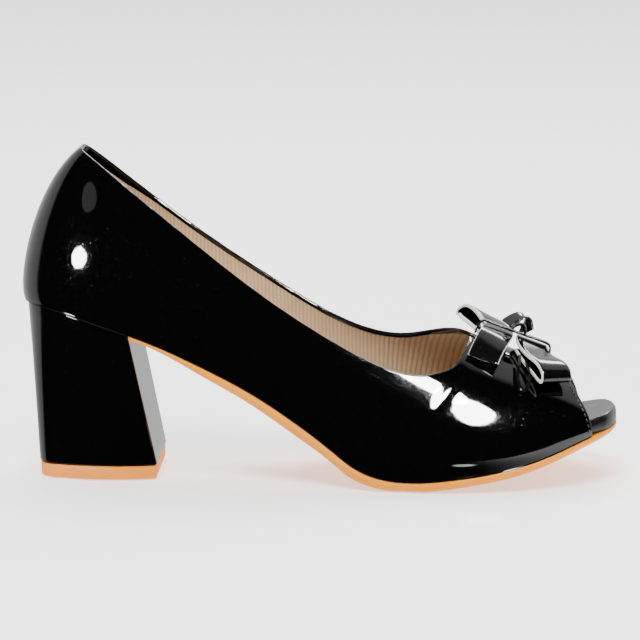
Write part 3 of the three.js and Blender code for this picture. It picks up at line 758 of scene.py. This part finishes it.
def band_width(x):
    """Width of the patent folded inside the collar: wider at the heel and at the throat."""
    return 1.7 + 3.4 * smooth((-62 - x) / 34) + 1.6 * smooth((x - 40) / 14)



def vamp_bend(p):
    """Depth of the shallow bend across the outer side of the vamp."""
    across = 0.8 * (p[..., 0] - 50.6) - 0.6 * (p[..., 2] - 38)
    along = 0.6 * (p[..., 0] - 50.6) + 0.8 * (p[..., 2] - 38)
    depth = BEND_DEPTH * np.exp(-0.5 * (across / BEND_WIDTH) ** 2 - 0.5 * (along / BEND_LENGTH) ** 2)
    return np.where(p[..., 1] < 0, depth, 0)


TOP = np.broadcast_to(tops[:, None], UP.shape)
to_collar, to_peep = edge_distances(skin, STATION, UP, TOP)
turned = rounding(np.minimum(to_collar, to_peep))
inside_edge = np.minimum(to_collar - band_width(skin[..., 0]), to_peep - 6)
sunk = 0.6 * smooth(inside_edge / 0.4)
outer = skin - skin_out * (turned + vamp_bend(skin))[..., None]
inner = skin - skin_out * (WALL - turned - sunk)[..., None]


def upper_shell():
    rows, columns = UP.shape
    count = rows * columns
    front = grid(rows, columns)
    back = [[k + count for k in f][::-1] for f in front]
    points = np.vstack([outer.reshape(-1, 3), inner.reshape(-1, 3)])
    faces = front + back
    foot = np.arange(rows) * columns
    for a, b in zip(foot[:-1], foot[1:]):
        faces.append([b, a, a + count, b + count])
    points, faces, _, kept = weld(points, faces)
    faces = outward_faces(points, faces)
    piece = make("upper_patent_shell", points, faces, [patent])
    near = np.concatenate([np.minimum(to_collar, to_peep).ravel()] * 2)[kept]
    attribute(piece, "edge", near)
    return piece


def lining():
    """Ribbed textile between the folded band and the insole."""
    at = np.linspace(-PEEP_AT + 0.012, PEEP_AT - 0.012, 3000)
    middle = last(at, 0.55 * collar(at))
    step = np.linalg.norm(np.diff(middle[:, :2], axis=0), axis=1)
    pitch = mix(RIB_PITCH, RIB_PITCH_VAMP, smooth((middle[:, 0] - 28) / 34))
    phase = np.concatenate([[0], np.cumsum(step / ((pitch[1:] + pitch[:-1]) / 2))])
    samples = 6
    ribs = np.arange(0, int(phase[-1] * samples)) / samples
    at = np.interp(ribs, phase, at)
    climb = np.concatenate([spread(0, 0.86, 16), spread(0.86, 1, 10, 1.3), [1]])
    A, U = np.meshgrid(at, climb, indexing="ij")
    reach = np.abs(A)
    A = A + np.sign(A) * RIB_SWEEP * smooth((reach - 0.56) / 0.14) * smooth((0.93 - reach) / 0.2) * U ** 1.6
    T = collar(A)
    U = U * T
    skin, out = last(A, U), outward(A, U)
    d, _ = edge_distances(skin, A, U, T)
    crest = np.abs(np.sin(np.pi * ribs)) ** 0.6
    crest = np.broadcast_to(crest[:, None], U.shape)
    shown = smooth((d - band_width(skin[..., 0])) / 0.25 + 0.6)
    depth = 1.12 + shown * (WALL - 1.12 - 0.04 - LINING_RIB * (1 - crest))
    front = (skin - out * depth[..., None]).reshape(-1, 3)
    back = (skin - out * 1.02).reshape(-1, 3)
    faces = grid(*U.shape)
    hidden = (d < 1.0).ravel()
    faces = [f[::-1] for f in faces if not hidden[f].all()]
    rise = np.cumsum(np.linalg.norm(np.diff(skin, axis=1), axis=2), axis=1)
    height = np.concatenate([np.zeros((len(at), 1)), rise], axis=1)
    welded, kept_faces, _, kept = weld(front, faces)
    points, closed = thicken(welded, back[kept], [list(f) for f in kept_faces])
    piece = make("upper_lining", points, closed, [textile])
    numbered = np.broadcast_to(ribs[:, None], U.shape)
    # crest also drives the painted shade of the grooves in the lining material.
    for name, values in (("rib", numbered), ("crest", crest), ("climb", height)):
        attribute(piece, name, np.concatenate([values.ravel()[kept]] * 2))
    return piece


def peep_stitches():
    """Row of stitches beside the folded edge of the toe opening."""
    up = np.linspace(0.05, 1, 400)
    path, out = [], []
    for side in (1, -1):
        rim = last(side * PEEP_AT, up)
        near = last(side * (PEEP_AT - 0.01), up)
        inset = side * (PEEP_AT - 0.01 * STITCH_INSET / np.linalg.norm(rim - near, axis=1))
        path.append(last(inset, up)[::side])
        out.append(outward(inset, up)[::side])
    path, out = np.vstack(path), np.vstack(out)
    run = np.concatenate([[0], np.cumsum(np.linalg.norm(np.diff(path, axis=0), axis=1))])
    starts = np.arange(0.4, run[-1] - STITCH_LENGTH, STITCH_PITCH)
    points, faces = [], []
    turn = np.linspace(0, 2 * math.pi, STITCH_SIDES + 1)[:-1]
    for start in starts:
        along = np.linspace(0, 1, STITCH_RINGS)
        radius = STITCH_RADIUS * np.sqrt(np.maximum(1 - (2 * along - 1) ** 4, 0.02))
        at = start + along * STITCH_LENGTH
        place = np.stack([np.interp(at, run, path[:, k]) for k in range(3)], axis=1)
        rise = unit(np.stack([np.interp(at, run, out[:, k]) for k in range(3)], axis=1))
        side = unit(np.cross(np.gradient(place, axis=0), rise))
        place = place + rise * (0.10 - 0.2 * (2 * along - 1) ** 4)[:, None]
        ring = (side[:, None] * np.cos(turn)[None, :, None] + rise[:, None] * np.sin(turn)[None, :, None])
        ring = place[:, None] + ring * radius[:, None, None]
        first = len(points) * STITCH_RINGS * STITCH_SIDES
        last_ring = first + (STITCH_RINGS - 1) * STITCH_SIDES
        points.append(ring.reshape(-1, 3))
        faces += grid(STITCH_RINGS, STITCH_SIDES, closed=True, start=first)
        faces.append(list(range(first, first + STITCH_SIDES))[::-1])
        faces.append(list(range(last_ring, last_ring + STITCH_SIDES)))
    points = np.vstack(points)
    return make("peep_stitches", points, outward_faces(points, faces), [thread])


# Sole, insole, heel and bow
def midline(x):
    """Middle of the outline in plan, straight toward the heel."""
    x = np.asarray(x, float)
    low, high = np.zeros(x.shape), np.ones(x.shape)
    for _ in range(30):
        at = (low + high) / 2
        less = length_x(outline_x(at)) < x
        low, high = np.where(less, at, low), np.where(less, high, at)
    return BALL_WIDTH * (outline_lateral(low) + outline_medial(low)) / 2 * smooth((x + 20) / 60)


def spine(at, start, stop):
    x = np.clip(length_x(outline_x(np.abs(at))), start, stop)
    return x, midline(x)


def loop_stations(start, count):
    side = mix(start, 1, np.arange(count + 1) / count)
    return np.concatenate([side, -side[1:-1][::-1], [-start] if start > 0 else []])


def station_at(x):
    """Station where the outline reaches x."""
    at = np.linspace(0, 1, 4001)
    return float(np.interp(x, length_x(outline_x(at)), at))


def outsole():
    back = BREAST_X + CLEAR + 0.2
    at = loop_stations(station_at(back), 200)

    def level(inset, drop):
        p = edge_offset(at, SOLE_LIP - inset)
        x = np.maximum(back, p[:, 0])
        return stack(x, p[:, 1], mix(sole_top(x), sole_bottom(x), drop))

    def inside(share, drop):
        p = edge_offset(at, SOLE_LIP - (SOLE_BEVEL if drop else 0.35))
        cx, cy = spine(at, back + 8, length_x(0.93))
        x = np.maximum(back, mix(cx, p[:, 0], share))
        return stack(x, mix(cy, p[:, 1], share), mix(sole_top(x), sole_bottom(x), drop))

    shares = (0, 0.25, 0.5, 0.75, 0.95)
    side = [(0.35, 0), (0.1, 0.03), (0, 0.1), (-0.1, 0.22), (-0.15, 0.35), (-0.1, 0.48), (0.1, 0.6),
            (0.45, 0.72), (0.85, 0.82), (1.3, 0.91), (1.75, 0.98), (SOLE_BEVEL, 1)]
    loops = [inside(s, 0) for s in shares] + [level(*s) for s in side] + [inside(s, 1) for s in shares[::-1]]
    row_marks = [0] * (len(loops) - 1)
    return lofted("sole_tan", loops, [sole_rubber], row_marks)[0]


def insole():
    at = loop_stations(0, 220)
    inset = mix(WALL + CLEAR + 0.25, -0.3, smooth((np.abs(at) - PEEP_AT - 0.004) / 0.04))

    def height(x):
        return INSOLE_THICKNESS + INSOLE_TOE * smooth((x - 70) / 36)

    def level(more, share):
        p = edge_offset(at, -inset - more)
        return stack(p[:, 0], p[:, 1], sole_top(p[:, 0]) + CLEAR + share * height(p[:, 0]))

    def inside(share, top):
        p = edge_offset(at, -inset - (1.6 if top else 0.3))
        cx, cy = spine(at, length_x(0.08), length_x(0.93))
        x = mix(cx, p[:, 0], share)
        return stack(x, mix(cy, p[:, 1], share), sole_top(x) + CLEAR + (height(x) if top else 0))

    shares = (0, 0.25, 0.5, 0.75, 0.95)
    side = [(0.3, 0), (0.06, 0.03), (0, 0.1), (0, 0.3), (0, 0.5), (0.03, 0.6), (0.14, 0.7), (0.34, 0.8),
            (0.64, 0.89), (1.0, 0.955), (1.35, 0.99), (1.6, 1)]
    loops = [inside(s, False) for s in shares]
    loops += [level(*s) for s in side]
    loops += [inside(s, True) for s in shares[::-1]]
    return lofted("footbed_black", loops, [footbed])[0]


def heel_ring(share, inset, fine=6):
    """Ring of the block heel in plan: share 1 is the seat, share 0 the base."""
    corner = station_at(BREAST_X)
    half, front, back = HEEL_BASE_WIDTH / 2 - inset, HEEL_BASE_FRONT - inset, HEEL_BASE_BACK + inset
    radius, base = HEEL_CORNER - inset, LIFT_THICKNESS + CLEAR

    def seat(at):
        p = edge_offset(at, -HEEL_INSET)
        return np.minimum(BREAST_X, p[..., 0]), p[..., 1]

    def side(sign):
        top, low = [], []
        wide = abs(float(seat(sign * corner)[1]))
        for t in np.arange(4 * fine) / (4 * fine):
            top.append((BREAST_X, -sign * wide * t))
            low.append((front, -half * t))
        for t in np.arange(8 * fine) / (8 * fine):
            top.append(seat(sign * mix(corner, 0.085, t)))
            low.append((mix(front, back + radius, t), -half - HEEL_SIDE_BOW * math.sin(math.pi * t) ** 0.8))
        for t in np.arange(8 * fine) / (8 * fine):
            angle = t * math.pi / 2
            top.append(seat(sign * mix(0.085, 0.03, t)))
            low.append((back + radius - radius * math.sin(angle), -half + radius - radius * math.cos(angle)))
        for t in np.arange(3 * fine + 1) / (3 * fine):
            top.append(seat(sign * mix(0.03, 0, t)))
            low.append((back, mix(-half + radius, 0, t)))
        top, low = np.array(top, float), np.array(low, float)
        low[:, 1] *= sign
        return stack(mix(low[:, 0], top[:, 0], share), mix(low[:, 1], top[:, 1], share),
                     mix(base, sole_top(top[:, 0]), share))

    return np.vstack([side(1), side(-1)[1:-1][::-1]])


def heel_block():
    rings = [heel_ring(share, 0) for share in np.linspace(0, 1, 13)]
    top = rings[-1]
    other = top[-np.arange(len(top)) % len(top)]
    middle = np.clip((top[:, 0] + other[:, 0]) / 2, -98, -80)

    def seat(share):
        x = mix(middle, top[:, 0], share)
        return stack(x, top[:, 1] * share, sole_top(x))

    low = rings[0]
    centre = np.array([-85.0, 0, low[0, 2]])
    floor = [mix(centre, low, s) for s in (0, 0.5)]
    loops = floor + rings + [seat(0.5), seat(0)]
    piece = lofted("heel_block_patent", loops, [heel_patent])[0]
    bevel(piece, 0.7, 3)
    return piece


def heel_top_piece():
    def ring(z, inset):
        p = heel_ring(0, inset)
        p[:, 2] = z
        return p

    centre = np.array([-85.0, 0, 0])
    low, high = ring(0, LIFT_INSET + 0.5), ring(LIFT_THICKNESS, LIFT_INSET)
    loops = [mix(centre, low, s) for s in (0, 0.5)] + [low, ring(0.5, LIFT_INSET), ring(1.6, LIFT_INSET),
             ring(3.4, LIFT_INSET), high] + [mix(centre + [0, 0, LIFT_THICKNESS], high, s) for s in (0.5, 0)]
    piece = lofted("heel_top_piece_tan", loops, [top_rubber])[0]
    bevel(piece, 0.25, 2)
    return piece


RIBBON_SHOWN = 1.55
RIBBON_EDGE_ROUND, RIBBON_FLAT_SHARE, RIBBON_EDGE_SWELL = 0.12, 0.975, 1.01
KNOT_FOLD_WIDTH = 5
KNOT_FOLD = table("across along lift turn", [
    (0.12, -0.2, 6.9, 100),
    (0.1, -0.17, 7.9, 104),
    (0.05, -0.06, 8.9, 110),
    (0.04, 0.06, 8.8, 116),
    (0.08, 0.15, 7.8, 122),
    (0.1, 0.18, 6.9, 124),
])


def ribbon(name, rows, facing, width, thickness, count, cut=True):
    """Strip with patent faces and pale cut edges."""
    middle, across, up, _ = ribbon_path(rows, facing, count)
    e = RIBBON_EDGE_ROUND / (thickness / 2)
    flat, swell = RIBBON_FLAT_SHARE, RIBBON_EDGE_SWELL
    faces = [(a, -1) for a in np.linspace(-flat, flat, 9)]
    faces += [(1, -1 + e), (swell, 0), (1, 1 - e)]
    faces += [(a, 1) for a in np.linspace(flat, -flat, 9)]
    faces += [(-1, 1 - e), (-swell, 0), (-1, -1 + e)]
    loops = np.array([middle + across * a * width / 2 + up * b * thickness / 2 for a, b in faces])
    loops = loops.transpose(1, 0, 2)
    pale = [0] * 9 + [1, 1] + [0] * 10 + [1, 1] + [0]
    pale[8], pale[11], pale[20], pale[23] = 1, 1, 1, 1
    marks = np.tile(pale, len(loops) - 1) if cut else None
    return capped(name, list(loops), [ribbon_patent, cut_edge] if cut else [ribbon_patent], marks)


# Build
shell = upper_shell()
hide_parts("upper")
lining()
peep_stitches()
sole = outsole()
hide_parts("outsole")
bed = insole()
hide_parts("insole")
block = heel_block()
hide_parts("heel_block")
lift = heel_top_piece()
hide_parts("heel_top_piece")
half_a = ribbon("ribbon_heel_half", RIBBON_HEEL_HALF, 1, RIBBON_WIDTH, RIBBON_SHOWN, 170)
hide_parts("bow_heel_half")
half_b = ribbon("ribbon_toe_half", RIBBON_TOE_HALF, -1, RIBBON_WIDTH, RIBBON_SHOWN, 170)
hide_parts("bow_toe_half")
band = ribbon("ribbon_band", BAND, 1, BAND_WIDTH, BAND_THICKNESS, 120, cut=False)
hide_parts("bow_band")
knot = ribbon("ribbon_knot", KNOT, 1, KNOT_WIDTH, BAND_THICKNESS, 90, cut=False)
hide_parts("bow_knot")
ribbon("ribbon_knot_fold", KNOT_FOLD, 1, KNOT_FOLD_WIDTH, BAND_THICKNESS, 60, cut=False)
hanging = ribbon("ribbon_hanging_loop", HANGING, 1, HANGING_WIDTH, BAND_THICKNESS, 90, cut=False)
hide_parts("bow_hanging_loop")


# Floor, lights and camera
# Metres, and strengths of the light.
FLOOR_Z, NEAR_FLOOR_Z = -0.0004, -0.0002
FLOOR_FADE_START, FLOOR_FADE_END, FLOOR_GLOW = 0.065, 0.13, 3.0
GLINT_AT = (0.064, -0.078, 0)
GLINT_CORE, GLINT_RIM, GLINT_GLOW = 0.004, 0.009, 12.0
DARK_SIDE, PALE_SIDE, BACKGROUND = 0.004, 1.1, 9.0
SKY_DARK_END, SKY_PALE_START = -0.05, 0.12


def stage_plane(name, corners, material):
    mesh = bpy.data.meshes.new(name)
    mesh.from_pydata(corners, [], [tuple(range(len(corners)))])
    mesh.materials.append(material)
    piece = bpy.data.objects.new(name, mesh)
    bpy.context.scene.collection.objects.link(piece)
    return piece


def level_corners(low, high, z):
    return [(low[0], low[1], z), (high[0], low[1], z), (high[0], high[1], z), (low[0], high[1], z)]


def floor():
    """Pale floor. The lacquer mirrors only a pale strip of it, beside the forefoot."""
    m = Nodes("floor_pale", (0.9, 0.9, 0.9), Emission_Color=(1, 1, 1, 1), Emission_Strength=0.9)
    m.roughness(0.9)
    wide = stage_plane("floor", level_corners((-6, -3), (6, 8), FLOOR_Z), m.material)
    wide.visible_glossy = False
    glow = bpy.data.materials.new("floor_glow")
    glow.use_nodes = True
    tree = glow.node_tree
    tree.nodes.remove(tree.nodes["Principled BSDF"])
    split = tree.nodes.new("ShaderNodeSeparateXYZ")
    tree.links.new(tree.nodes.new("ShaderNodeTexCoord").outputs["Object"], split.inputs[0])
    fade = tree.nodes.new("ShaderNodeMapRange")
    fade.interpolation_type = "SMOOTHSTEP"
    ends = {"From Min": FLOOR_FADE_START, "From Max": FLOOR_FADE_END, "To Min": 0.0, "To Max": FLOOR_GLOW}
    for socket, value in ends.items():
        fade.inputs[socket].default_value = value
    tree.links.new(split.outputs["X"], fade.inputs["Value"])
    gap = tree.nodes.new("ShaderNodeVectorMath")
    gap.operation = "DISTANCE"
    tree.links.new(split.inputs[0].links[0].from_socket, gap.inputs[0])
    gap.inputs[1].default_value = GLINT_AT
    glint = tree.nodes.new("ShaderNodeMapRange")
    glint.interpolation_type = "SMOOTHSTEP"
    ends = {"From Min": GLINT_CORE, "From Max": GLINT_RIM, "To Min": GLINT_GLOW, "To Max": 0.0}
    for socket, value in ends.items():
        glint.inputs[socket].default_value = value
    tree.links.new(gap.outputs["Value"], glint.inputs["Value"])
    both = tree.nodes.new("ShaderNodeMath")
    tree.links.new(fade.outputs[0], both.inputs[0])
    tree.links.new(glint.outputs[0], both.inputs[1])
    light = tree.nodes.new("ShaderNodeEmission")
    tree.links.new(both.outputs[0], light.inputs["Strength"])
    tree.links.new(light.outputs[0], tree.nodes["Material Output"].inputs["Surface"])
    near = stage_plane("floor_near", level_corners((0.05, -0.11), (0.2, 0.02), NEAR_FLOOR_Z), glow)
    near.visible_camera = near.visible_diffuse = near.visible_shadow = False


def lamp(name, seen_from, azimuth, elevation, wide, high, roll, distance, radiance):
    """Soft lamp at an azimuth, elevation and distance from a point; width and height in degrees."""
    a, e = math.radians(azimuth), math.radians(elevation)
    aim = Vector(seen_from) / 1000
    toward = Vector((math.sin(a) * math.cos(e), -math.cos(a) * math.cos(e), math.sin(e)))
    data = bpy.data.lights.new(name, "AREA")
    data.shape = "ELLIPSE"
    data.size, data.size_y = (2 * distance * math.tan(math.radians(v / 2)) for v in (wide, high))
    area = data.size * data.size_y * math.pi / 4
    data.energy = radiance * math.pi * area
    made = bpy.data.objects.new(name, data)
    side = Vector((0, 0, 1)).cross(toward).normalized()
    rise = toward.cross(side)
    r = math.radians(roll)
    along = side * math.cos(r) + rise * math.sin(r)
    turned = Matrix((along, toward.cross(along), toward)).transposed()
    made.matrix_world = Matrix.Translation(aim + distance * toward) @ turned.to_4x4()
    made.visible_camera = False
    bpy.context.scene.collection.objects.link(made)
    return made


def studio():
    """Pale surroundings behind the shoe and dark ones on the camera's side, as in a product studio."""
    world = bpy.data.worlds.new("studio")
    world.use_nodes = True
    tree = world.node_tree
    ground = tree.nodes["Background"]
    split = tree.nodes.new("ShaderNodeSeparateXYZ")
    tree.links.new(tree.nodes.new("ShaderNodeTexCoord").outputs["Generated"], split.inputs[0])
    ramp = tree.nodes.new("ShaderNodeMapRange")
    ramp.interpolation_type = "SMOOTHSTEP"
    ends = {"From Min": SKY_DARK_END, "From Max": SKY_PALE_START, "To Min": DARK_SIDE, "To Max": PALE_SIDE}
    for socket, value in ends.items():
        ramp.inputs[socket].default_value = value
    tree.links.new(split.outputs["Y"], ramp.inputs["Value"])
    path = tree.nodes.new("ShaderNodeLightPath")
    pick = tree.nodes.new("ShaderNodeMix")
    pick.inputs["B"].default_value = BACKGROUND
    tree.links.new(path.outputs["Is Camera Ray"], pick.inputs["Factor"])
    tree.links.new(ramp.outputs[0], pick.inputs["A"])
    tree.links.new(pick.outputs[0], ground.inputs["Strength"])
    ground.inputs["Color"].default_value = (1, 1, 1, 1)
    bpy.context.scene.world = world


floor()
studio()
lamp("soft_lamp", (0, 0, 50), -10, 62, 34, 24, 0, 1.6, 24).visible_glossy = False
lamp("soft_lamp_back", (0, 0, 50), 180, 60, 50, 40, 0, 1.6, 9).visible_glossy = False
for made in (lamp("vamp_lamp_heelward", (44, -30, 39), 31.8, 49.3, 13, 5, 47, 0.22, 200),
             lamp("vamp_lamp_toeward", (60, -32, 31), 24.6, 43.4, 24.1, 8.3, 59, 0.23, 200),
             lamp("counter_lamp", (-91, -25, 88), -28.8, 6, 13.1, 9.4, -6, 0.86, 200),
             lamp("counter_glow", (-91, -25, 98), -27, 35, 14, 18, 0, 0.9, 0.8),
             lamp("back_lamp", (0, 30, 60), 165, 38, 24, 10, 0, 1.2, 30)):
    made.visible_diffuse = False

AIM = Vector((0, 0, 0.0594))
DISTANCE, AZIMUTH, ELEVATION, LENS = 1.5, 3.0, 11.0, 217.69
camera = bpy.data.objects.new("camera", bpy.data.cameras.new("camera"))
turn, rise = math.radians(AZIMUTH), math.radians(ELEVATION)
toward = Vector((math.sin(turn) * math.cos(rise), -math.cos(turn) * math.cos(rise), math.sin(rise)))
camera.location = AIM + DISTANCE * toward
camera.rotation_euler = (AIM - camera.location).to_track_quat("-Z", "Y").to_euler()
camera.data.lens = LENS
camera.data.sensor_width = 36
bpy.context.scene.collection.objects.link(camera)
bpy.context.scene.camera = camera
